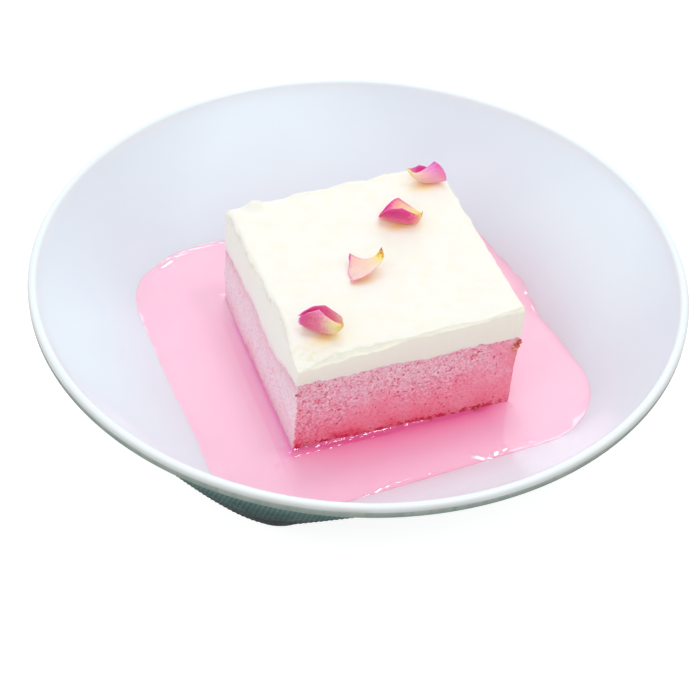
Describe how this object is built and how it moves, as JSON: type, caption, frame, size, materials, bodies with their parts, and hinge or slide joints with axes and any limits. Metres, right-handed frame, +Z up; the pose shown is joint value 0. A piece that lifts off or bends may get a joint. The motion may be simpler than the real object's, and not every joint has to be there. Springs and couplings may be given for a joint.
{
  "type": "rose milk cake",
  "caption": "Square of sponge cake with a cream layer and loose rose petals, standing in a pool of rose milk in a wide round bowl with a squared foot.",
  "frame": {"origin": "under the middle of the bowl, on the surface that its foot stands on", "axes": "+Z up; the squared foot lies along X and Y; the cake's layered front faces -Y and its left side faces -X"},
  "size_m": [0.216, 0.216, 0.0623],
  "materials": {
    "bowl": "white gloss glaze inside and over the lip, ribbed dark green-grey glaze outside",
    "rose_milk": "opaque pink milk with a wet gloss",
    "sponge": "matte open crumb, soaked and redder towards its foot",
    "cream": "whipped cream, satin, smeared flat",
    "petal": "thin veined petal, magenta to pale peach with a yellow claw"
  },
  "bodies": {
    "root": {"bowl": "bowl", "rose_milk": "rose_milk", "sponge": "sponge", "cream": "cream", "petal_1": "petal", "petal_2": "petal", "petal_3": "petal", "petal_4": "petal"}
  },
  "joints": []
}
